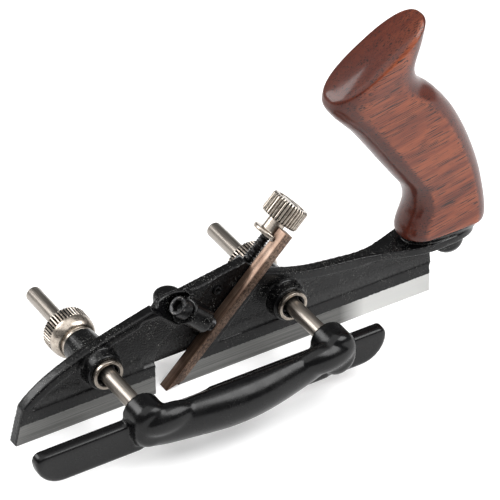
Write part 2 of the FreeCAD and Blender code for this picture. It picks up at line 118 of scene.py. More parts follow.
# satin black stoving enamel over rough cast iron: soft gloss, and pebbles where the casting was not dressed
def castingEnamel(name, isBody):
    look = {"colour": "#060607", "glintColour": "#8c8c88", "recessLight": "#303030", "glintShare": 0.8 if isBody else 0.1,
            "roughness": (0.2, 0.3), "pebbleSize": 0.8, "speckSize": 0.5, "patchSize": 11.0, "waveSize": 7.0,
            "webFrom": -0.6, "webTo": -1.3, "footFrom": 15.0, "footTo": 25.0, "stripTop": 10.3, "stripSide": 3.5}
    material, tree, coords = startMaterial(name)
    axes = addNode(tree, "ShaderNodeSeparateXYZ", links={"Vector": coords})
    facing = addNode(tree, "ShaderNodeNewGeometry", out="Normal")
    facing = addNode(tree, "ShaderNodeSeparateXYZ", links={"Vector": facing})
    wave = addNode(tree, "ShaderNodeTexNoise",
                   {"Scale": perMm / look["waveSize"], "Detail": 3.0, "Roughness": 0.55}, {"Vector": coords}, "Fac")
    grit = addNode(tree, "ShaderNodeTexNoise",
                   {"Scale": perMm / look["pebbleSize"], "Detail": 2.0, "Roughness": 0.6}, {"Vector": coords}, "Fac")
    shade = addNode(tree, "ShaderNodeMapRange",
                    {"From Min": 0.35, "From Max": 0.65, "To Min": look["roughness"][0],
                     "To Max": look["roughness"][1]}, {"Value": wave}, "Result")
    normal = addNode(tree, "ShaderNodeBump", {"Distance": 0.12 * mm, "Strength": 0.35}, {"Height": wave}, "Normal")
    # painted highlight: small pale specks stand in for glints off the rough cast skin, thickest on the rough skin
    glintSpecks = addNode(tree, "ShaderNodeTexNoise",
                   {"Scale": perMm / look["speckSize"], "Detail": 1.0, "Roughness": 0.55}, {"Vector": coords}, "Fac")
    glintSpecks = addNode(tree, "ShaderNodeMapRange", {"From Min": 0.66, "From Max": 0.7}, {"Value": glintSpecks}, "Result")
    patches = addNode(tree, "ShaderNodeTexNoise",
                      {"Scale": perMm / look["patchSize"], "Detail": 3.0, "Roughness": 0.55},
                      {"Vector": coords}, "Fac")
    patches = addNode(tree, "ShaderNodeMapRange", {"From Min": 0.45, "From Max": 0.6, "To Max": look["glintShare"]},
                      {"Value": patches}, "Result")
    glintSpecks = addNode(tree, "ShaderNodeMath", {"operation": "MULTIPLY"}, {0: glintSpecks, 1: patches}, "Value")
    colour = addNode(tree, "ShaderNodeMix",
                     {"data_type": "RGBA", 6: toLinear(look["colour"]), 7: toLinear(look["glintColour"])}, {0: glintSpecks}, 2)
    if isBody:
        # the recessed webs lie deeper than the rims and keep their cast skin
        deep = addNode(tree, "ShaderNodeMapRange", {"From Min": look["webTo"] * mm, "From Max": look["webFrom"] * mm},
                       {"Value": axes.outputs["Y"]}, "Result")
        level = addNode(tree, "ShaderNodeMapRange", {"From Min": 0.75, "From Max": 0.35},
                        {"Value": facing.outputs["Z"]}, "Result")
        rough = addNode(tree, "ShaderNodeMath", {"operation": "MULTIPLY"}, {0: deep, 1: level}, "Value")
        height = addNode(tree, "ShaderNodeMath", {"operation": "MULTIPLY"}, {0: grit, 1: rough}, "Value")
        normal = addNode(tree, "ShaderNodeBump", {"Distance": 0.3 * mm, "Strength": 1.0},
                         {"Height": height, "Normal": normal}, "Normal")
        # painted light: a grey band painted in the foot of each recess, standing in for light caught there from above
        # and off the white floor
        foot = addNode(tree, "ShaderNodeMapRange",
                       {"From Min": look["footTo"] * mm, "From Max": (look["footTo"] - 5.0) * mm},
                       {"Value": axes.outputs["Z"]}, "Result")
        aboveFoot = addNode(tree, "ShaderNodeMapRange",
                            {"From Min": look["footFrom"] * mm, "From Max": (look["footFrom"] + 2.0) * mm},
                            {"Value": axes.outputs["Z"]}, "Result")
        facePlane = addNode(tree, "ShaderNodeMapRange", {"From Min": -2.0 * mm, "From Max": -1.5 * mm},
                            {"Value": axes.outputs["Y"]}, "Result")
        mottle = addNode(tree, "ShaderNodeMapRange", {"From Min": 0.3, "From Max": 0.7, "To Min": 0.25},
                         {"Value": grit}, "Result")
        for share in (aboveFoot, facePlane, mottle):
            foot = addNode(tree, "ShaderNodeMath", {"operation": "MULTIPLY"}, {0: foot, 1: share}, "Value")
        colour = addNode(tree, "ShaderNodeMix", {"data_type": "RGBA", 7: toLinear(look["recessLight"])},
                         {0: foot, 6: colour}, 2)
    shader = addNode(tree, "ShaderNodeBsdfPrincipled", {"Metallic": 0.0, "IOR": 1.45, "Specular IOR Level": 0.3},
                     {"Base Color": colour, "Roughness": shade, "Normal": normal}, "BSDF")
    if isBody:
        # the skate is ground bright below a straight line along the body, but not round its nose
        ragged = addNode(tree, "ShaderNodeMapRange",
                         {"From Min": 0.3, "From Max": 0.7, "To Min": -0.2 * mm, "To Max": 0.2 * mm},
                         {"Value": grit}, "Result")
        height = addNode(tree, "ShaderNodeMath", {"operation": "ADD"}, {0: axes.outputs["Z"], 1: ragged}, "Value")
        bare = addNode(tree, "ShaderNodeMapRange",
                       {"From Min": (look["stripTop"] + 0.05) * mm, "From Max": (look["stripTop"] - 0.05) * mm},
                       {"Value": height}, "Result")
        thin = addNode(tree, "ShaderNodeMapRange",
                       {"From Min": (look["stripSide"] + 0.1) * mm, "From Max": (look["stripSide"] - 0.1) * mm},
                       {"Value": axes.outputs["Y"]}, "Result")
        behindNose = addNode(tree, "ShaderNodeMapRange", {"From Min": -0.6, "From Max": -0.4},
                             {"Value": facing.outputs["X"]}, "Result")
        for share in (thin, behindNose):
            bare = addNode(tree, "ShaderNodeMath", {"operation": "MULTIPLY"}, {0: bare, 1: share}, "Value")
        steel = groundSteel(tree, coords)
        shader = addNode(tree, "ShaderNodeMixShader", links={0: bare, 1: shader, 2: steel}, out="Shader")
    addNode(tree, "ShaderNodeOutputMaterial", links={"Surface": shader})
    return material


# turned and plated or polished metals: a colour and a gloss that wander a little from place to place
def turnedMetal(name, look):
    material, tree, coords = startMaterial(name)
    blotch = addNode(tree, "ShaderNodeTexNoise",
                     {"Scale": perMm / look["blotch"], "Detail": look["detail"], "Roughness": look["crispness"]},
                     {"Vector": coords}, "Fac")
    colour = addNode(tree, "ShaderNodeValToRGB", {"stops": look["colours"]}, {"Fac": blotch}, "Color")
    shade = addNode(tree, "ShaderNodeMapRange",
                    {"From Min": 0.3, "From Max": 0.7, "To Min": look["roughness"][0], "To Max": look["roughness"][1]},
                    {"Value": blotch}, "Result")
    links = {"Base Color": colour, "Roughness": shade}
    if look["depth"]:
        links["Normal"] = addNode(tree, "ShaderNodeBump", {"Distance": look["depth"] * mm, "Strength": 0.25},
                                  {"Height": blotch}, "Normal")
    metal = addNode(tree, "ShaderNodeBsdfPrincipled", {"Metallic": look["metallic"]}, links, "BSDF")
    addNode(tree, "ShaderNodeOutputMaterial", links={"Surface": metal})
    return material


# centreless-ground stainless rod: dull bright with streaks along its length
def rodSteel(name, ratios):
    look = {"colours": [(0.3, "#7d766f"), (0.7, "#a69f97")], "lineWidth": 0.4, "lineDepth": 0.01,
            "roughness": (0.3, 0.42)}
    material, tree, coords = startMaterial(name)
    along = addNode(tree, "ShaderNodeMapping", {"Scale": ratios}, {"Vector": coords}, "Vector")
    lines = addNode(tree, "ShaderNodeTexNoise",
                    {"Scale": perMm / look["lineWidth"], "Detail": 5.0, "Roughness": 0.65}, {"Vector": along}, "Fac")
    colour = addNode(tree, "ShaderNodeValToRGB", {"stops": look["colours"]}, {"Fac": lines}, "Color")
    shade = addNode(tree, "ShaderNodeMapRange",
                    {"From Min": 0.3, "From Max": 0.7, "To Min": look["roughness"][0], "To Max": look["roughness"][1]},
                    {"Value": lines}, "Result")
    normal = addNode(tree, "ShaderNodeBump", {"Distance": look["lineDepth"] * mm, "Strength": 0.5},
                     {"Height": lines}, "Normal")
    metal = addNode(tree, "ShaderNodeBsdfPrincipled", {"Metallic": 1.0},
                    {"Base Color": colour, "Roughness": shade, "Normal": normal}, "BSDF")
    addNode(tree, "ShaderNodeOutputMaterial", links={"Surface": metal})
    return material


# old oxidised tool steel: brown, darker low down and paler towards the top, long scratches down the iron, rough dark
# edges
def brownSteel():
    look = {"colours": [(0.32, "#3a2c24"), (0.48, "#6d5648"), (0.62, "#8d7768"), (0.74, "#a89689")],
            "scratchWidth": 0.4, "scratchLength": 40.0, "scratchTurn": math.radians(45), "cloudSize": 9.0,
            "pitSize": 0.9, "paleTop": 64.0, "roughness": (0.3, 0.46), "relief": 0.06}
    material, tree, coords = startMaterial("brownSteel")
    ratio = look["scratchWidth"] / look["scratchLength"]
    turnedCoords = addNode(tree, "ShaderNodeMapping", {"Rotation": (0, look["scratchTurn"], 0)},
                           {"Vector": coords}, "Vector")
    along = addNode(tree, "ShaderNodeMapping", {"Scale": (ratio, 1.0, 1.0)}, {"Vector": turnedCoords}, "Vector")
    scratches = addNode(tree, "ShaderNodeTexNoise",
                        {"Scale": perMm / look["scratchWidth"], "Detail": 6.0, "Roughness": 0.7},
                        {"Vector": along}, "Fac")
    clouds = addNode(tree, "ShaderNodeTexNoise",
                     {"Scale": perMm / look["cloudSize"], "Detail": 3.0, "Roughness": 0.55},
                     {"Vector": coords}, "Fac")
    pits = addNode(tree, "ShaderNodeTexNoise",
                   {"Scale": perMm / look["pitSize"], "Detail": 4.0, "Roughness": 0.65}, {"Vector": coords}, "Fac")
    height = addNode(tree, "ShaderNodeSeparateXYZ", links={"Vector": coords}, out="Z")
    facing = addNode(tree, "ShaderNodeNewGeometry", out="Normal")
    sideways = addNode(tree, "ShaderNodeSeparateXYZ", links={"Vector": facing}, out="Y")
    sideways = addNode(tree, "ShaderNodeMath", {"operation": "ABSOLUTE"}, {0: sideways}, "Value")
    onEdge = addNode(tree, "ShaderNodeMapRange", {"From Min": 0.75, "From Max": 0.95}, {"Value": sideways}, "Result")
    blend = addNode(tree, "ShaderNodeMix", {"data_type": "FLOAT", 0: 0.35}, {2: scratches, 3: clouds}, 0)
    paling = addNode(tree, "ShaderNodeMapRange",
                     {"From Min": 0.0, "From Max": look["paleTop"] * mm, "To Min": -0.06, "To Max": 0.07},
                     {"Value": height}, "Result")
    paler = addNode(tree, "ShaderNodeMath", {"operation": "ADD"}, {0: blend, 1: paling}, "Value")
    colour = addNode(tree, "ShaderNodeValToRGB", {"stops": look["colours"]}, {"Fac": paler}, "Color")
    dark = addNode(tree, "ShaderNodeMapRange", {"From Min": 0.4, "From Max": 0.6, "To Min": 0.25, "To Max": 0.95},
                   {"Value": pits}, "Result")
    dimming = addNode(tree, "ShaderNodeMix", {"data_type": "FLOAT", 2: 1.0}, {0: onEdge, 3: dark}, 0)
    tone = addNode(tree, "ShaderNodeVectorMath", {"operation": "SCALE"}, {0: colour, "Scale": dimming}, "Vector")
    shade = addNode(tree, "ShaderNodeMapRange",
                    {"From Min": 0.3, "From Max": 0.7, "To Min": look["roughness"][0], "To Max": look["roughness"][1]},
                    {"Value": scratches}, "Result")
    relief = addNode(tree, "ShaderNodeMix", {"data_type": "FLOAT"}, {0: onEdge, 2: scratches, 3: pits}, 0)
    normal = addNode(tree, "ShaderNodeBump", {"Distance": look["relief"] * mm, "Strength": 0.8},
                     {"Height": relief}, "Normal")
    metal = addNode(tree, "ShaderNodeBsdfPrincipled", {"Metallic": 0.75},
                    {"Base Color": tone, "Roughness": shade, "Normal": normal}, "BSDF")
    addNode(tree, "ShaderNodeOutputMaterial", links={"Surface": metal})
    return material


# open-pored red hardwood under clear varnish: fibres run from front to heel, rising a little
def varnishedWood():
    look = {"bands": [(0.3, "#451a0e"), (0.46, "#6a2f1a"), (0.58, "#854327"), (0.72, "#552211")],
            "pore": "#1a0703", "endGrainShade": "#431409", "fibreTurn": math.radians(11),
            # sizes in mm and how far each pattern is drawn out along the fibres
            "bandSize": 5.0, "bandStretch": 0.12, "fibreSize": 0.45, "fibreStretch": 0.03,
            "poreSize": 0.45, "poreStretch": 0.035, "crowdSize": 6.0, "poreDepth": 0.05}
    material, tree, coords = startMaterial("varnishedWood")
    grain = addNode(tree, "ShaderNodeMapping", {"Rotation": (0, look["fibreTurn"], 0)}, {"Vector": coords}, "Vector")
    patterns = {}
    for part, detail, crispness in (("band", 3.0, 0.5), ("fibre", 3.0, 0.6), ("pore", 1.0, 0.4)):
        along = addNode(tree, "ShaderNodeMapping", {"Scale": (look[part + "Stretch"], 1.0, 1.0)},
                        {"Vector": grain}, "Vector")
        patterns[part] = addNode(tree, "ShaderNodeTexNoise",
                                 {"Scale": perMm / look[part + "Size"], "Detail": detail, "Roughness": crispness},
                                 {"Vector": along}, "Fac")
    crowding = addNode(tree, "ShaderNodeTexNoise",
                       {"Scale": perMm / look["crowdSize"], "Detail": 2.0, "Roughness": 0.55},
                       {"Vector": coords}, "Fac")
    edge = addNode(tree, "ShaderNodeMapRange", {"From Min": 0.35, "From Max": 0.65, "To Min": 0.36, "To Max": 0.43},
                   {"Value": crowding}, "Result")
    pores = addNode(tree, "ShaderNodeMath", {"operation": "SUBTRACT"}, {0: edge, 1: patterns["pore"]}, "Value")
    pores = addNode(tree, "ShaderNodeMapRange", {"From Min": -0.004, "From Max": 0.008}, {"Value": pores}, "Result")
    mixed = addNode(tree, "ShaderNodeMix", {"data_type": "FLOAT", 0: 0.4},
                    {2: patterns["band"], 3: patterns["fibre"]}, 0)
    colour = addNode(tree, "ShaderNodeValToRGB", {"stops": look["bands"]}, {"Fac": mixed}, "Color")
    # end grain drinks more varnish and goes darker; the same mask also paints shade on the front roundover and the
    # top, which face away from the key light
    fibreLine = (math.cos(look["fibreTurn"]), 0.0, math.sin(look["fibreTurn"]))
    facing = addNode(tree, "ShaderNodeNewGeometry", out="Normal")
    endGrainAndShade = addNode(tree, "ShaderNodeVectorMath", {"operation": "DOT_PRODUCT", 1: fibreLine}, {0: facing}, "Value")
    endGrainAndShade = addNode(tree, "ShaderNodeMath", {"operation": "ABSOLUTE"}, {0: endGrainAndShade}, "Value")
    endGrainAndShade = addNode(tree, "ShaderNodeMapRange", {"From Min": 0.16, "From Max": 0.36, "To Max": 0.85},
                    {"Value": endGrainAndShade}, "Result")
    colour = addNode(tree, "ShaderNodeMix", {"data_type": "RGBA", 7: toLinear(look["endGrainShade"])},
                     {0: endGrainAndShade, 6: colour}, 2)
    poreShare = addNode(tree, "ShaderNodeMath", {"operation": "MULTIPLY", 1: 0.9}, {0: pores}, "Value")
    colour = addNode(tree, "ShaderNodeMix", {"data_type": "RGBA", 7: toLinear(look["pore"])},
                     {0: poreShare, 6: colour}, 2)
    fibres = addNode(tree, "ShaderNodeMath", {"operation": "MULTIPLY", 1: 0.3}, {0: patterns["fibre"]}, "Value")
    sunk = addNode(tree, "ShaderNodeMath", {"operation": "SUBTRACT"}, {0: fibres, 1: pores}, "Value")
    normal = addNode(tree, "ShaderNodeBump", {"Distance": look["poreDepth"] * mm, "Strength": 0.5},
                     {"Height": sunk}, "Normal")
    settings = {"IOR": 1.5, "Roughness": 0.45, "Specular IOR Level": 0.2, "Coat Weight": 0.4, "Coat Roughness": 0.1,
                "Coat IOR": 1.5}
    varnish = addNode(tree, "ShaderNodeBsdfPrincipled", settings, {"Base Color": colour, "Normal": normal}, "BSDF")
    addNode(tree, "ShaderNodeOutputMaterial", links={"Surface": varnish})
    return material


print("materials")
bodyEnamel = castingEnamel("bodyEnamel", True)
fenceEnamel = castingEnamel("fenceEnamel", False)
# bright nickel plate on turned steel: warm, nearly a mirror
nickel = turnedMetal("nickelPlate", {
    "colours": [(0.3, "#978d83"), (0.7, "#bfb5a9")], "blotch": 1.6, "detail": 5.0, "crispness": 0.55,
    "roughness": (0.24, 0.34), "depth": 0.03, "metallic": 1.0})
# black-oxide screws: dark oiled steel with pale spots on a few places, partly bright wear and partly painted
# highlights
screwLook = turnedMetal("blackOxide", {
    "colours": [(0.3, "#222223"), (0.6, "#343435"), (0.7, "#8a8680")], "blotch": 1.2, "detail": 5.0,
    "crispness": 0.6, "roughness": (0.24, 0.36), "depth": 0.0, "metallic": 0.85})
# turned brass, dulled by handling
brass = turnedMetal("dullBrass", {
    "colours": [(0.3, "#a8843f"), (0.75, "#cfae63")], "blotch": 2.0, "detail": 4.0, "crispness": 0.55,
    "roughness": (0.25, 0.4), "depth": 0.0, "metallic": 1.0})
rodLook = rodSteel("rodSteel", (1.0, 0.02, 1.0))
postLook = rodSteel("postSteel", (1.0, 1.0, 0.02))
footLook = rodSteel("footSteel", (0.02, 1.0, 1.0))
ironLook = brownSteel()
wood = varnishedWood()


def addPiece(name, mesh, material, body, replaced, second=None):
    piece = bpy.data.objects.new(name, mesh)
    bpy.context.scene.collection.objects.link(piece)
    indices = [face.material_index for face in mesh.polygons]
    mesh.materials.clear()
    for look in [material] + ([second] if second else []):
        mesh.materials.append(look)
    mesh.polygons.foreach_set("material_index", indices if second else [0] * len(indices))
    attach(piece, body)
    if replaced:
        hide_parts(replaced)
    return piece


def baked(obj):
    # the object's mesh with its modifiers applied; the object itself is thrown away
    bpy.context.view_layer.update()
    graph = bpy.context.evaluated_depsgraph_get()
    mesh = bpy.data.meshes.new_from_object(obj.evaluated_get(graph), depsgraph=graph)
    bpy.data.objects.remove(obj)
    return mesh


def scratchObject(mesh):
    obj = bpy.data.objects.new("scratch", mesh)
    bpy.context.scene.collection.objects.link(obj)
    return obj


def stand(mesh, start, direction):
    # a mesh built up its own Z is laid along a direction from a start point
    turn = direction.to_track_quat("Z", "Y").to_matrix().to_4x4()
    mesh.transform(Matrix.Translation(start) @ turn)
    return mesh


def joined(name, meshes):
    whole = bmesh.new()
    for mesh in meshes:
        whole.from_mesh(mesh)
    bmesh.ops.remove_doubles(whole, verts=whole.verts, dist=1e-7)
    result = bpy.data.meshes.new(name)
    whole.to_mesh(result)
    whole.free()
    return result


def smoothByAngle(mesh, degrees):
    mesh.shade_smooth()
    mesh.set_sharp_from_angle(angle=math.radians(degrees))
    return mesh


def eased(points, radius, steps=3, loop=False):
    # every corner of a profile becomes a small arc
    count = len(points)
    result = []
    for i, point in enumerate(points):
        if not loop and i in (0, count - 1):
            result.append(point)
            continue
        here, before, after = Vector(point), Vector(points[i - 1]), Vector(points[(i + 1) % count])
        cut = min(radius, (before - here).length * 0.45, (after - here).length * 0.45)
        first = here + (before - here).normalized() * cut
        last = here + (after - here).normalized() * cut
        for k in range(steps + 1):
            t = k / steps
            result.append(tuple(first * (1 - t) ** 2 + here * 2 * t * (1 - t) + last * t ** 2))
    return result


def turned(profile, segments=64, ease=0.25, loop=False, sharp=40):
    # a lathe part from (distance, radius) in mm; an open profile starts and ends on the axis
    points = eased(profile, ease, loop=loop)
    part = bmesh.new()
    rings = []
    for distance, radius in points:
        if radius < 1e-6:
            rings.append([part.verts.new((0, 0, distance * mm))])
            continue
        ring = []
        for i in range(segments):
            angle = 2 * math.pi * i / segments
            place = Vector((radius * math.cos(angle), radius * math.sin(angle), distance))
            ring.append(part.verts.new(place * mm))
        rings.append(ring)
    pairs = list(zip(rings, rings[1:]))
    if loop:
        pairs.append((rings[-1], rings[0]))
    for low, high in pairs:
        for i in range(segments):
            corners = [low[i % len(low)], low[(i + 1) % len(low)], high[(i + 1) % len(high)], high[i % len(high)]]
            corners = list(dict.fromkeys(corners))
            part.faces.new(corners)
    bmesh.ops.recalc_face_normals(part, faces=part.faces)
    mesh = bpy.data.meshes.new("turned")
    part.to_mesh(mesh)
    part.free()
    return smoothByAngle(mesh, sharp)


def nodeTree(name, inputs):
    tree = bpy.data.node_groups.new(name, "GeometryNodeTree")
    for label, kind in inputs.items():
        tree.interface.new_socket(label, in_out="INPUT", socket_type=kind)
    tree.interface.new_socket("Geometry", in_out="OUTPUT", socket_type="NodeSocketGeometry")
    return tree, addNode(tree, "NodeGroupInput")


def grown(tree, values):
    # runs a geometry tree with the given inputs and returns its plain mesh
    obj = scratchObject(bpy.data.meshes.new("seed"))
    modifier = obj.modifiers.new("grow", "NODES")
    modifier.node_group = tree
    for item in tree.interface.items_tree:
        if item.in_out == "INPUT" and item.name in values:
            modifier[item.identifier] = values[item.name]
    return baked(obj)


def knurlTree():
    # a ring with straight teeth: a fine cylinder whose wall is pushed in once a tooth, and a bore cut through
    inputs = {"Teeth": "NodeSocketInt", "Radius": "NodeSocketFloat", "Length": "NodeSocketFloat",
              "Depth": "NodeSocketFloat", "Land": "NodeSocketFloat", "Chamfer": "NodeSocketFloat",
              "Bore": "NodeSocketFloat", "Material": "NodeSocketMaterial"}
    tree, given = nodeTree("knurledRing", inputs)
    out = given.outputs
    around = addNode(tree, "ShaderNodeMath", {"operation": "MULTIPLY", 1: 8.0}, {0: out["Teeth"]}, "Value")
    wall = addNode(tree, "GeometryNodeMeshCylinder", {"fill_type": "NGON", "Side Segments": 12},
                   {"Vertices": around, "Radius": out["Radius"], "Depth": out["Length"]}, "Mesh")
    place = addNode(tree, "GeometryNodeInputPosition", out="Position")
    axes = addNode(tree, "ShaderNodeSeparateXYZ", links={0: place})
    # where round the ring, in teeth, and how far from the middle of a tooth
    angle = addNode(tree, "ShaderNodeMath", {"operation": "ARCTAN2"},
                    {0: axes.outputs["Y"], 1: axes.outputs["X"]}, "Value")
    turns = addNode(tree, "ShaderNodeMath", {"operation": "DIVIDE", 1: 2 * math.pi}, {0: angle}, "Value")
    teeth = addNode(tree, "ShaderNodeMath", {"operation": "MULTIPLY"}, {0: turns, 1: out["Teeth"]}, "Value")
    phase = addNode(tree, "ShaderNodeMath", {"operation": "FRACT"}, {0: teeth}, "Value")
    offset = addNode(tree, "ShaderNodeMath", {"operation": "SUBTRACT", 1: 0.5}, {0: phase}, "Value")
    offset = addNode(tree, "ShaderNodeMath", {"operation": "ABSOLUTE"}, {0: offset}, "Value")
    fromLand = addNode(tree, "ShaderNodeMath", {"operation": "MULTIPLY", 1: 2.0}, {0: offset}, "Value")
    groove = addNode(tree, "ShaderNodeMapRange", {"To Max": 1.0}, {"Value": fromLand, "From Min": out["Land"]},
                     "Result")
    # both ends are chamfered
    halfLength = addNode(tree, "ShaderNodeMath", {"operation": "DIVIDE", 1: 2.0}, {0: out["Length"]}, "Value")
    height = addNode(tree, "ShaderNodeMath", {"operation": "ABSOLUTE"}, {0: axes.outputs["Z"]}, "Value")
    fromEnd = addNode(tree, "ShaderNodeMath", {"operation": "SUBTRACT"}, {0: halfLength, 1: height}, "Value")
    taper = addNode(tree, "ShaderNodeMapRange", {"From Min": 0.0, "To Max": 0.0},
                    {"Value": fromEnd, "From Max": out["Chamfer"], "To Min": out["Chamfer"]}, "Result")
    sunk = addNode(tree, "ShaderNodeMath", {"operation": "MULTIPLY"}, {0: groove, 1: out["Depth"]}, "Value")
    inward = addNode(tree, "ShaderNodeMath", {"operation": "ADD"}, {0: sunk, 1: taper}, "Value")
    inward = addNode(tree, "ShaderNodeMath", {"operation": "MULTIPLY", 1: -1.0}, {0: inward}, "Value")
    share = addNode(tree, "ShaderNodeMath", {"operation": "DIVIDE"}, {0: inward, 1: out["Radius"]}, "Value")
    flat = addNode(tree, "ShaderNodeVectorMath", {"operation": "MULTIPLY", 1: (1, 1, 0)}, {0: place}, "Vector")
    push = addNode(tree, "ShaderNodeVectorMath", {"operation": "SCALE"}, {0: flat, "Scale": share}, "Vector")
    toothed = addNode(tree, "GeometryNodeSetPosition", links={"Geometry": wall, "Offset": push}, out="Geometry")
    coreLength = addNode(tree, "ShaderNodeMath", {"operation": "MULTIPLY", 1: 2.0}, {0: out["Length"]}, "Value")
    core = addNode(tree, "GeometryNodeMeshCylinder", {"Vertices": 64}, {"Radius": out["Bore"], "Depth": coreLength},
                   "Mesh")
    bored = addNode(tree, "GeometryNodeMeshBoolean", {"operation": "DIFFERENCE", "solver": "EXACT"},
                    {"Mesh 1": toothed, "Mesh 2": core}, "Mesh")
    real = addNode(tree, "GeometryNodeRealizeInstances", links={"Geometry": bored}, out="Geometry")
    done = addNode(tree, "GeometryNodeSetMaterial", links={"Geometry": real, "Material": out["Material"]},
                   out="Geometry")
    addNode(tree, "NodeGroupOutput", links={"Geometry": done})
    return tree


def threadTree():
    # a thread ridge: a helix swept with a four-sided profile, its inner half buried in the core
    inputs = {"Turns": "NodeSocketFloat", "Radius": "NodeSocketFloat", "Length": "NodeSocketFloat",
              "Ridge": "NodeSocketFloat", "Material": "NodeSocketMaterial"}
    tree, given = nodeTree("threadRidge", inputs)
    out = given.outputs
    helix = addNode(tree, "GeometryNodeCurveSpiral", {"Resolution": 24},
                    {"Rotations": out["Turns"], "Start Radius": out["Radius"], "End Radius": out["Radius"],
                     "Height": out["Length"]}, "Curve")
    profile = addNode(tree, "GeometryNodeCurvePrimitiveCircle", {"Resolution": 4}, {"Radius": out["Ridge"]}, "Curve")
    ridge = addNode(tree, "GeometryNodeCurveToMesh", {"Fill Caps": True}, {"Curve": helix, "Profile Curve": profile},
                    "Mesh")
    real = addNode(tree, "GeometryNodeRealizeInstances", links={"Geometry": ridge}, out="Geometry")
    done = addNode(tree, "GeometryNodeSetMaterial", links={"Geometry": real, "Material": out["Material"]},
                   out="Geometry")
    addNode(tree, "NodeGroupOutput", links={"Geometry": done})
    return tree


knurledRing = knurlTree()
threadRidge = threadTree()


def knurl(start, length, values):
    # the ring's middle sits half its length above the start
    mesh = grown(knurledRing, dict(values, Length=length * mm, Material=nickel))
    mesh.transform(Matrix.Translation((0, 0, (start + length / 2) * mm)))
    # painted shade: the floors of the grooves get the dark second material, standing in for the shade in the grooves
    floorRadius = values["Radius"] - values["Depth"] * 0.45
    for face in mesh.polygons:
        sideways = abs(face.normal.z) < 0.5
        face.material_index = int(sideways and values["Bore"] * 1.05 < face.center.xy.length < floorRadius)
    return smoothByAngle(mesh, 18)


def thread(start, length, radius, pitch, material):
    values = {"Turns": length / pitch, "Radius": (radius - pitch * 0.3) * mm, "Length": length * mm,
              "Ridge": pitch * 0.42 * mm, "Material": material}
    mesh = grown(threadRidge, values)
    mesh.transform(Matrix.Translation((0, 0, start * mm)))
    return smoothByAngle(mesh, 30)


def slab(outline, left, right):
    # a flat block: outline in (x, z), thick from left to right along Y, all in mm
    part = bmesh.new()
    near = [part.verts.new((x * mm, left * mm, z * mm)) for x, z in outline]
    far = [part.verts.new((x * mm, right * mm, z * mm)) for x, z in outline]
    part.faces.new(near)
    part.faces.new(far[::-1])
    for i in range(len(outline)):
        j = (i + 1) % len(outline)
        part.faces.new((near[i], far[i], far[j], near[j]))
    bmesh.ops.recalc_face_normals(part, faces=part.faces)
    mesh = bpy.data.meshes.new("slab")
    part.to_mesh(mesh)
    part.free()
    return mesh


def castShell(node, cast, isSoft, added=(), shift=None):
    # the solid's skin with every edge softened, as a casting has; isSoft picks what the foundry left round
    obj = scratchObject(joined("skin", [nodes[node].data] + list(added)))
    remesh = obj.modifiers.new("skin", "REMESH")
    remesh.mode = "VOXEL"
    remesh.voxel_size = cast["voxel"] * mm
    mesh = baked(obj)
    if shift:
        for vertex in mesh.vertices:
            vertex.co = shift(vertex.co / mm) * mm
    obj = scratchObject(mesh)
    group = obj.vertex_groups.new(name="soft")
    group.add([v.index for v in mesh.vertices if isSoft(v.co / mm)], 1.0, "REPLACE")
    for rounds, only in ((cast["rounds"], ""), (cast["softRounds"], "soft")):
        soften = obj.modifiers.new("soften", "SMOOTH")
        soften.factor = 0.5
        soften.iterations = rounds
        soften.vertex_group = only
    thin = obj.modifiers.new("thin", "DECIMATE")
    thin.ratio = min(1.0, cast["triangles"] / (2 * len(mesh.polygons)))
    mesh = baked(obj)
    mesh.shade_smooth()
    return mesh


clampOut = Vector(joints["clamp_screw_spin"]["axis"]).normalized()
clampFoot = Vector(joints["clamp_screw_spin"]["pos_m"])

print("castings")
rodAxes = [tuple((p + q) / 2 / mm for p, q in zip(*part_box(end + "_rod"))) for end in ("front", "rear")]
bodyCast = {"voxel": 0.5, "rounds": 2, "softRounds": 14, "triangles": 190000}
# raised shoulder between the clamp pocket and the top of the side wall, with its swept lower edge
shoulder = [(97.5, 40.0), (101.5, 40.5), (103.2, 42.4), (106.0, 45.3), (108.4, 48.4), (111.5, 50.0), (116.9, 50.9),
            (123.0, 51.5), (124.8, 52.2), (98.5, 47.9), (97.0, 44.5)]


def bodySoft(place):
    # the ground strip, the rod bores, the clamp bore, the handle's seat and the room for the stop's foot stay crisp
    nearRod = any(math.hypot(place.x - x, place.z - z) < 9.6 for x, _, z in rodAxes)
    inClampBore = (place - clampFoot / mm).cross(clampOut).length < 4.4
    overFoot = place.y > 8.6 and place.z < 16.5 and 68.0 < place.x < 110.0
    seat = place.z > 34.0 and place.x > 200.0
    return place.z > 12.5 and not (nearRod or inClampBore or overFoot or seat)


web = {"x": (68.0, 95.0), "y": (-2.3, -0.2), "z": (17.5, 43.0), "fromClamp": 8.5}


def pressed(place):
    # the web runs on level from the recess to the throat, without a rib between them
    fromAxis = abs((place.x + place.z) - (clampFoot.x + clampFoot.z) / mm) * clampOut.z
    inside = all(web[axis][0] < getattr(place, axis) < web[axis][1] for axis in "xyz")
    if inside and fromAxis > web["fromClamp"]:
        place.y = web["y"][1]
    # the underside of the stop's boss stays clear of the raised foot
    if 80.0 < place.x < 98.0 and place.y > 9.6 and place.z < 15.0:
        place.z += 0.35
    return place


def ramp(left, right):
    # the foot of a recess slopes out to the rim instead of meeting it square
    mesh = slab([(-0.1, 24.0), (-0.1, 16.0), (-1.7, 16.0)], -right, -left)
    mesh.transform(Matrix.Rotation(math.radians(90), 4, "Z"))
    return mesh


added = [slab(shoulder, 2.6, 5.0), ramp(11.0, 74.0), ramp(108.0, 229.0)]
mesh = castShell("body_casting", bodyCast, bodySoft, added, pressed)
addPiece("bodyCasting", mesh, bodyEnamel, "body", "body_casting")

fenceCast = {"voxel": 0.55, "rounds": 4, "softRounds": 26, "triangles": 150000}
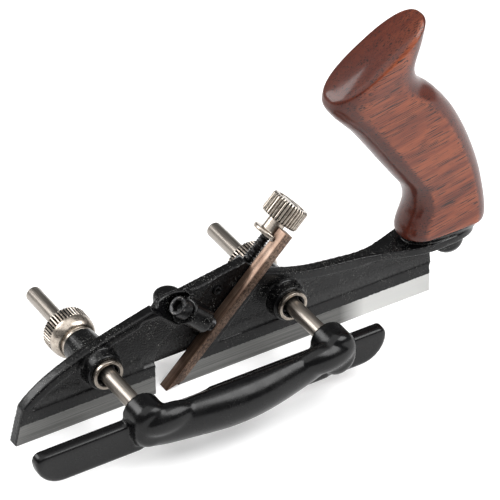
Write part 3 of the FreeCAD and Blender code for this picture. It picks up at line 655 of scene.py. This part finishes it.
# the grip swells to meet each rod boss
swell = {"inward": 8.0, "y": -50.0, "drop": 0.8, "size": (16.0, 6.4, 7.4)}
swells = []
for (x, _, z), toward in zip(rodAxes, (1, -1)):
    part = bmesh.new()
    bmesh.ops.create_icosphere(part, subdivisions=4, radius=1.0)
    for vertex in part.verts:
        vertex.co = (Vector((x + toward * swell["inward"], swell["y"], z - swell["drop"]))
                     + vertex.co * Vector(swell["size"])) * mm
    mesh = bpy.data.meshes.new("swell")
    part.to_mesh(mesh)
    part.free()
    swells.append(mesh)
mesh = castShell("fence_casting", fenceCast, lambda place: place.y < -41.0, swells)
addPiece("fenceCasting", mesh, fenceEnamel, "fence", "fence_casting")


def gripMesh(grip, corner):
    # rings of a rounded oval, tipped between a front and a back point, with a smooth run between stations
    stations = grip["stations"]
    rows = []
    for i in range(len(stations) - 1):
        around = [stations[max(i - 1, 0)], stations[i], stations[i + 1], stations[min(i + 2, len(stations) - 1)]]
        for k in range(grip["between"]):
            t = k / grip["between"]
            row = []
            for a, b, c, d in zip(*around):
                row.append(0.5 * (2 * b + (c - a) * t + (2 * a - 5 * b + 4 * c - d) * t * t
                                  + (3 * b - a - 3 * c + d) * t ** 3))
            rows.append(row)
    rows.append(list(stations[-1]))
    part = bmesh.new()
    rings = []
    for frontX, frontZ, backX, backZ, half, power, oval in rows:
        ring = []
        reach = math.hypot(backX - frontX, backZ - frontZ)
        roundness = grip["roundover"] * half / reach
        for i in range(grip["around"]):
            angle = 2 * math.pi * i / grip["around"]
            cosine, sine = math.cos(angle), math.sin(angle)
            # flat cheeks between two half-round ends, blended into a plain oval near the top
            flat = max(-1.0, min(1.0, cosine * 9)) * (0.5 - roundness) + roundness * cosine
            rounded = 0.5 * math.copysign(abs(cosine) ** (2 / power), cosine)
            along = 0.5 + flat * (1 - oval) + rounded * oval
            sideways = half * (sine * (1 - oval) + math.copysign(abs(sine) ** (2 / power), sine) * oval)
            x = frontX + (backX - frontX) * along
            z = frontZ + (backZ - frontZ) * along
            ring.append(part.verts.new(corner + Vector((x, sideways, z)) * mm))
        rings.append(ring)
    for low, high in zip(rings, rings[1:]):
        for i in range(grip["around"]):
            j = (i + 1) % grip["around"]
            part.faces.new((low[i], low[j], high[j], high[i]))
    # both ends close with rings that shrink to the middle, the top one slightly crowned
    for ring, rise in ((rings[0], 0.0), (rings[-1], grip["crown"])):
        middle = sum((v.co for v in ring), Vector()) / len(ring)
        normal = (ring[0].co - middle).cross(ring[len(ring) // 4].co - middle).normalized()
        last = ring
        for share in (0.92, 0.75, 0.5, 0.25):
            lift = normal * rise * mm * (1 - share ** 2)
            inner = [part.verts.new(middle + (v.co - middle) * share + lift) for v in ring]
            for i in range(len(ring)):
                j = (i + 1) % len(ring)
                part.faces.new((last[i], last[j], inner[j], inner[i]))
            last = inner
        tip = part.verts.new(middle + normal * rise * mm)
        for i in range(len(ring)):
            part.faces.new((last[i], last[(i + 1) % len(ring)], tip))
    bmesh.ops.recalc_face_normals(part, faces=part.faces)
    mesh = bpy.data.meshes.new("grip")
    part.to_mesh(mesh)
    part.free()
    return smoothByAngle(mesh, 50)


print("handle")
low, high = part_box("handle")
gripCorner = Vector((low.x, (low.y + high.y) / 2, low.z))
# stations from the seat up: front x, front z, back x, back z, half width, squareness, share of oval, in mm
grip = {"around": 120, "between": 6, "crown": 1.0, "roundover": 0.85, "stations": [
    (43.2, 0.0, 88.1, 0.0, 11.2, 2.5, 0.1), (42.2, 0.8, 89.1, 0.8, 12.0, 2.5, 0.1),
    (42.5, 5.0, 89.2, 6.0, 12.2, 2.6, 0.05), (46.2, 16.5, 87.6, 16.5, 11.9, 2.8, 0.0),
    (44.2, 27.0, 84.4, 30.5, 12.0, 3.0, 0.0), (37.5, 37.0, 79.6, 44.5, 12.5, 3.0, 0.0),
    (30.0, 47.5, 74.0, 57.5, 12.8, 3.0, 0.0), (22.0, 59.0, 67.0, 70.0, 12.8, 2.9, 0.0),
    (14.0, 70.0, 57.9, 81.5, 12.6, 2.8, 0.1), (7.8, 77.0, 48.3, 90.5, 12.5, 2.6, 0.3),
    (3.4, 82.0, 45.4, 100.5, 12.8, 2.6, 0.6), (0.0, 87.5, 49.4, 114.0, 13.4, 2.5, 0.95),
    (0.1, 90.8, 50.8, 120.6, 13.4, 2.5, 1.0), (0.9, 92.6, 50.9, 122.5, 13.0, 2.5, 1.0),
    (2.6, 94.3, 49.8, 123.4, 12.0, 2.4, 1.0)]}
mesh = gripMesh(grip, gripCorner)
addPiece("handleGrip", mesh, wood, "body", "handle")


print("rods, collets and nuts")
rodShape = {"round": 1.1, "segments": 64}
colletShape = {"lip": 2.2, "lipRadius": 7.5, "sleeveRadius": 6.0, "bore": 4.05, "mouth": 6.2, "recess": 5.2,
               "recessDepth": 4.0}
nutShape = {"neckRadius": 8.6, "grooveRadius": 8.0, "bandStart": 7.4, "bore": 6.05,
            "Teeth": 46, "Radius": 11.6 * mm, "Depth": 0.75 * mm, "Land": 0.3, "Chamfer": 0.7 * mm, "Bore": 9.0 * mm}
for end in ("front", "rear"):
    low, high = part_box(end + "_rod")
    axis = Vector(((low.x + high.x) / 2, 0, (low.z + high.z) / 2))
    length, radius = (high.y - low.y) / mm, (high.x - low.x) / 2 / mm
    mesh = turned([(0, 0), (0, radius), (length, radius), (length, 0)], rodShape["segments"],
                  rodShape["round"], sharp=60)
    stand(mesh, axis + across * low.y, across)
    addPiece(end + "Rod", mesh, rodLook, "fence", end + "_rod")

    low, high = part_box(end + "_collet")
    length = (high.y - low.y) / mm
    c = colletShape
    profile = [(0, c["mouth"]), (0, c["lipRadius"]), (c["lip"], c["lipRadius"]), (c["lip"], c["sleeveRadius"]),
               (length, c["sleeveRadius"]), (length, c["bore"]), (c["recessDepth"], c["bore"]),
               (c["recessDepth"] - 0.3, c["recess"]), (0.9, c["recess"])]
    mesh = turned(profile, 64, 0.25, loop=True)
    # painted shade: the recess round the rod gets the dark second material, standing in for the shade deep in the
    # recess
    for face in mesh.polygons:
        inside = 0.4 * mm < face.center.z < length * mm - 1 * mm and face.center.xy.length < 5.9 * mm
        face.material_index = int(inside)
    mesh = stand(mesh, axis + across * low.y, across)
    addPiece(end + "Collet", mesh, nickel, end + "_collet", end + "_collet", screwLook)

    low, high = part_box(end + "_collet_nut")
    length = (high.y - low.y) / mm
    n = nutShape
    profile = [(0, n["bore"]), (0, n["neckRadius"]), (1.3, n["neckRadius"]), (1.5, n["grooveRadius"]),
               (2.2, n["grooveRadius"]), (2.4, 9.1), (2.9, 9.7), (3.8, 10.4), (5.0, 10.95), (6.4, 11.3), (7.8, 11.45),
               (8.0, 9.6), (length - 0.2, 9.6), (length - 0.2, 8.5), (length - 1.7, n["bore"])]
    core = turned(profile, 96, 0.2, loop=True)
    ring = knurl(n["bandStart"], length - n["bandStart"],
                 {key: n[key] for key in ("Teeth", "Radius", "Depth", "Land", "Chamfer", "Bore")})
    mesh = stand(joined("nut", [core, ring]), axis + across * low.y, across)
    # the dark second material is painted shade in the knurl grooves
    addPiece(end + "ColletNut", mesh, nickel, end + "_nut", end + "_collet_nut", screwLook)


print("iron")
bladeRun = Vector(joints["blade_slide"]["axis"]).normalized()
bladeBack = Vector((bladeRun.z, 0, -bladeRun.x))
iron = {"thick": 5.0, "bevel": 30.0, "slot": 87.4, "slotWidth": 2.6, "slotFloor": 0.5, "ease": 0.35}
low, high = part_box("blade")
edge = Vector((low.x, 0, low.z))
half = (high.y - low.y) / 2 / mm
length = ((high - edge).dot(bladeRun)) / mm
outline = [(0, -half), (length, -half), (length, half), (iron["slot"] + iron["slotWidth"] / 2, half)]
for k in range(9):
    angle = math.pi * k / 8
    outline.append((iron["slot"] + iron["slotWidth"] / 2 * math.cos(angle),
                    iron["slotFloor"] + iron["slotWidth"] / 2 * (1 - math.sin(angle))))
outline += [(iron["slot"] - iron["slotWidth"] / 2, half), (0, half)]
part = bmesh.new()
face = part.faces.new([part.verts.new((edge + (bladeRun * a + across * b) * mm)) for a, b in outline])
pulled = bmesh.ops.extrude_face_region(part, geom=[face])
for item in pulled["geom"]:
    if isinstance(item, bmesh.types.BMVert):
        item.co += bladeBack * iron["thick"] * mm
slope = math.radians(iron["bevel"])
away = (bladeRun * -math.sin(slope) + bladeBack * math.cos(slope)).normalized()
cut = bmesh.ops.bisect_plane(part, geom=part.verts[:] + part.edges[:] + part.faces[:], plane_co=edge,
                             plane_no=away, clear_outer=True)
rim = [e for e in cut["geom_cut"] if isinstance(e, bmesh.types.BMEdge)]
bmesh.ops.edgeloop_fill(part, edges=rim)
bmesh.ops.remove_doubles(part, verts=part.verts, dist=1e-6)
bmesh.ops.recalc_face_normals(part, faces=part.faces)
mesh = bpy.data.meshes.new("iron")
part.to_mesh(mesh)
part.free()
obj = scratchObject(mesh)
soften = obj.modifiers.new("ease", "BEVEL")
soften.width = iron["ease"] * mm
soften.segments = 3
soften.limit_method = "ANGLE"
soften.angle_limit = math.radians(40)
mesh = smoothByAngle(baked(obj), 30)
addPiece("plowIron", mesh, ironLook, "blade", "blade")


def socketHead(radius, length, socket, depth, shankRadius, shankLength, ease):
    # head up its own Z with a hexagonal socket in the top and a shank below
    part = bmesh.new()
    rows = [(-shankLength, 0, 0), (-shankLength, shankRadius - 0.5, 0), (-shankLength + 0.5, shankRadius, 0)]
    rows += [(-0.1, shankRadius, 0), (0, shankRadius + 0.1, 0), (0, radius - 0.3, 0), (0.3, radius, 0)]
    rows += [(length - ease, radius, 0), (length - ease * 0.4, radius - ease * 0.25, 0)]
    rows += [(length, radius - ease, 0), (length, socket / 2 + 0.9, 0), (length - 0.25, socket / 2 + 0.15, 1)]
    rows += [(length - depth, socket / 2 - 0.05, 1), (length - depth - 0.6, 0, 0)]
    rings = []
    count = 48
    for height, size, hexagon in rows:
        if size == 0:
            rings.append([part.verts.new((0, 0, height * mm))])
            continue
        ring = []
        for i in range(count):
            angle = 2 * math.pi * i / count
            reach = size
            if hexagon:
                reach = size / math.cos((angle + math.pi / 6) % (math.pi / 3) - math.pi / 6)
            place = Vector((reach * math.cos(angle), reach * math.sin(angle), height))
            ring.append(part.verts.new(place * mm))
        rings.append(ring)
    for first, second in zip(rings, rings[1:]):
        for i in range(count):
            corners = [first[i % len(first)], first[(i + 1) % len(first)],
                       second[(i + 1) % len(second)], second[i % len(second)]]
            part.faces.new(list(dict.fromkeys(corners)))
    bmesh.ops.recalc_face_normals(part, faces=part.faces)
    mesh = bpy.data.meshes.new("socketHead")
    part.to_mesh(mesh)
    part.free()
    return smoothByAngle(mesh, 25)


print("adjuster")
spin = joints["adjuster_spin"]
adjusterFoot = Vector(spin["pos_m"]) - bladeRun * iron["slot"] * mm
# the thread is drawn at 1.25 mm a turn, coarser than the real 0.8 mm, so that it shows
studShape = {"start": 54.0, "end": 99.0, "radius": 2.5, "root": 2.05, "pitch": 1.25, "threadEnd": 86.0}
core = turned([(studShape["start"], 0), (studShape["start"], studShape["root"]),
               (studShape["end"], studShape["root"]), (studShape["end"], 0)], 40, 0.4)
ridge = thread(studShape["start"] + 0.6, studShape["threadEnd"] - studShape["start"] - 0.6,
               studShape["radius"], studShape["pitch"], screwLook)
mesh = stand(joined("stud", [core, ridge]), adjusterFoot, bladeRun)
addPiece("adjusterStud", mesh, screwLook, "adjuster", "adjuster_stud")

collarShape = {"thick": 2.2, "radius": 8.0, "neck": 4.5, "length": 9.0}
c = collarShape
bottom = iron["slot"] - c["thick"] / 2
profile = [(bottom, 0), (bottom, c["radius"]), (bottom + c["thick"], c["radius"]), (bottom + c["thick"], c["neck"]),
           (bottom + c["length"], c["neck"]), (bottom + c["length"], 0)]
mesh = stand(turned(profile, 64, 0.7), adjusterFoot, bladeRun)
addPiece("adjusterCollar", mesh, nickel, "adjuster", "adjuster_collar")

knobShape = {"start": 95.3, "length": 10.6,
             "Teeth": 36, "Radius": 9.75 * mm, "Depth": 0.85 * mm, "Land": 0.42, "Chamfer": 0.6 * mm, "Bore": 7.0 * mm}
k = knobShape
top = k["start"] + k["length"]
profile = [(k["start"] + 0.2, 0), (k["start"] + 0.2, 7.6), (top - 0.2, 7.6), (top - 0.9, 7.0), (top - 0.9, 5.6),
           (top - 0.1, 5.2), (top - 0.1, 0)]
core = turned(profile, 64, 0.3)
# screwdriver slot across the hub: the inner vertices near the slot line drop
slotted = bmesh.new()
slotted.from_mesh(core)
slot = {"half": 0.7, "deep": 0.9, "reach": 5.0}
for offset in (-slot["half"], slot["half"]):
    for shift in (-0.02, 0.02):
        bmesh.ops.bisect_plane(slotted, geom=slotted.verts[:] + slotted.edges[:] + slotted.faces[:],
                               plane_co=(0, (offset + shift) * mm, 0), plane_no=(0, 1, 0))
for vertex in slotted.verts:
    inHub = vertex.co.xy.length < slot["reach"] * mm and vertex.co.z > (top - 0.5) * mm
    if inHub and abs(vertex.co.y) < slot["half"] * mm:
        vertex.co.z -= slot["deep"] * mm
slotted.to_mesh(core)
slotted.free()
ring = knurl(k["start"], k["length"],
             {key: k[key] for key in ("Teeth", "Radius", "Depth", "Land", "Chamfer", "Bore")})
mesh = stand(joined("knob", [core, ring]), adjusterFoot, bladeRun)
# the dark second material is painted shade in the knurl grooves
addPiece("adjusterKnob", mesh, nickel, "adjuster", "adjuster_knob", screwLook)


print("screws")
clampScrew = {"radius": 5.0, "length": 6.0, "socket": 5.0, "depth": 3.0, "shankRadius": 3.0, "shankLength": 17.0,
              "ease": 0.6}
underHead = 19.66  # from the iron's face to the underside of the head, as the solid has it
mesh = stand(socketHead(**clampScrew), clampFoot + clampOut * underHead * mm, clampOut)
addPiece("clampScrew", mesh, screwLook, "clamp_screw", "clamp_screw")

tip = {"radius": 3.45, "root": 3.1, "pitch": 0.8, "length": 4.2}
profile = [(0, 0), (0, tip["root"] - 0.3)]
for i in range(int(tip["length"] / tip["pitch"])):
    profile += [((i + 0.25) * tip["pitch"], tip["root"]), ((i + 0.75) * tip["pitch"], tip["radius"])]
profile += [(tip["length"], tip["root"]), (tip["length"], 0)]
mesh = stand(turned(profile, 48, 0.05, sharp=60), clampFoot, clampOut)
addPiece("clampTip", mesh, screwLook, "clamp_pad", "clamp_pad")

grubScrews = {"wall_grub_screw": ("body", across * -1, 2.0), "front_rod_screw": ("fence", upward * -1, 2.5),
              "rear_rod_screw": ("fence", upward * -1, 2.5)}
headLength = 2.6
for node, (body, out, socket) in grubScrews.items():
    low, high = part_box(node)
    middle = (low + high) / 2
    long = abs((high - low).dot(out)) / mm
    radius = (high.x - low.x) / 2 / mm
    shape = socketHead(radius, headLength, socket, 2.0, radius - 0.02, long - headLength, 0.3)
    mesh = stand(shape, middle + out * (long / 2 - headLength) * mm, out)
    addPiece(node.title().replace("_", ""), mesh, screwLook, body, node)

print("depth stop")
low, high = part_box("depth_lock_knob")
lock = {"Teeth": 28, "Radius": (high.x - low.x) / 2, "Depth": 0.5 * mm, "Land": 0.3, "Chamfer": 0.5 * mm,
        "Bore": 4.0 * mm}
length = (high.y - low.y) / mm
radius = lock["Radius"] / mm
profile = [(0, 0), (0, 2.5), (length - 7.2, 2.5), (length - 7.2, 4.0), (length - 6.0, 4.0), (length - 6.0, 5.0),
           (length - 0.1, 5.0), (length + 0.0, 3.0), (length + 0.0, 0)]
core = turned(profile, 48, 0.2)
ring = knurl(length - 6.0, 6.0, lock)
axis = Vector(((low.x + high.x) / 2, low.y, (low.z + high.z) / 2))
mesh = stand(joined("lockKnob", [core, ring]), axis, across)
# the dark second material is painted shade in the knurl grooves
addPiece("depthLockKnob", mesh, nickel, "depth_lock_knob", "depth_lock_knob", screwLook)

carried = {"depth_post": postLook, "depth_foot": footLook, "depth_foot_screw": screwLook, "depth_lock_pad": brass,
           "handle_bolt": screwLook, "handle_washer": screwLook, "handle_insert": brass}
for node, material in carried.items():
    nodes[node].data.materials.clear()
    nodes[node].data.materials.append(material)

print("stage")
stage = {"floor": "#fbfbfb", "glow": 0.15, "world": "#ffffff", "worldStrength": 0.2, "floorSize": 6.0}
lamps = [("keyLamp", (0.95, -0.9, 1.3), 1.2, 34.0), ("topLamp", (-0.3, -0.1, 1.6), 2.2, 26.0),
         ("backLamp", (-0.85, 0.95, 0.9), 0.7, 12.0)]
camera = {"azimuth": -31.168, "elevation": 36.084, "roll": 0.309, "distance": 1.4,
          "target": (0.12704, 0.0, 0.06167), "lens": 217.3}

mesh = bpy.data.meshes.new("floor")
reach = stage["floorSize"] / 2
corners = [(-reach, -reach, 0), (reach, -reach, 0), (reach, reach, 0), (-reach, reach, 0)]
mesh.from_pydata(corners, [], [(0, 1, 2, 3)])
floor = bpy.data.objects.new("floor", mesh)
bpy.context.scene.collection.objects.link(floor)
# matt paper sweep: pale, with no gloss
material, tree, coords = startMaterial("palePaper")
settings = {"Base Color": toLinear(stage["floor"]), "Roughness": 0.9, "Specular IOR Level": 0.1,
            "Emission Color": toLinear(stage["floor"]), "Emission Strength": stage["glow"]}
shader = addNode(tree, "ShaderNodeBsdfPrincipled", settings, out="BSDF")
addNode(tree, "ShaderNodeOutputMaterial", links={"Surface": shader})
mesh.materials.append(material)

world = bpy.data.worlds.new("studio")
world.use_nodes = True
background = world.node_tree.nodes["Background"]
background.inputs["Color"].default_value = toLinear(stage["world"])
background.inputs["Strength"].default_value = stage["worldStrength"]
bpy.context.scene.world = world
bpy.context.scene.view_settings.view_transform = "Standard"

target = Vector(camera["target"])
for name, place, size, power in lamps:
    data = bpy.data.lights.new(name, "AREA")
    data.size = size
    data.energy = power
    lamp = bpy.data.objects.new(name, data)
    lamp.location = Vector(place) + target
    lamp.rotation_euler = (target - lamp.location).to_track_quat("-Z", "Y").to_euler()
    bpy.context.scene.collection.objects.link(lamp)

turn, rise, roll = (math.radians(camera[key]) for key in ("azimuth", "elevation", "roll"))
back = Vector((math.sin(turn) * math.cos(rise), -math.cos(turn) * math.cos(rise), math.sin(rise)))
right = Vector((math.cos(turn), math.sin(turn), 0))
tilted = Matrix.Rotation(-roll, 3, back)
right = tilted @ right
lens = bpy.data.cameras.new("camera")
lens.lens = camera["lens"]
lens.clip_end = 20
eye = bpy.data.objects.new("camera", lens)
up = back.cross(right)
facing = Matrix((right, up, back)).transposed().to_4x4()
eye.matrix_world = Matrix.Translation(target + back * camera["distance"]) @ facing
bpy.context.scene.collection.objects.link(eye)
bpy.context.scene.camera = eye
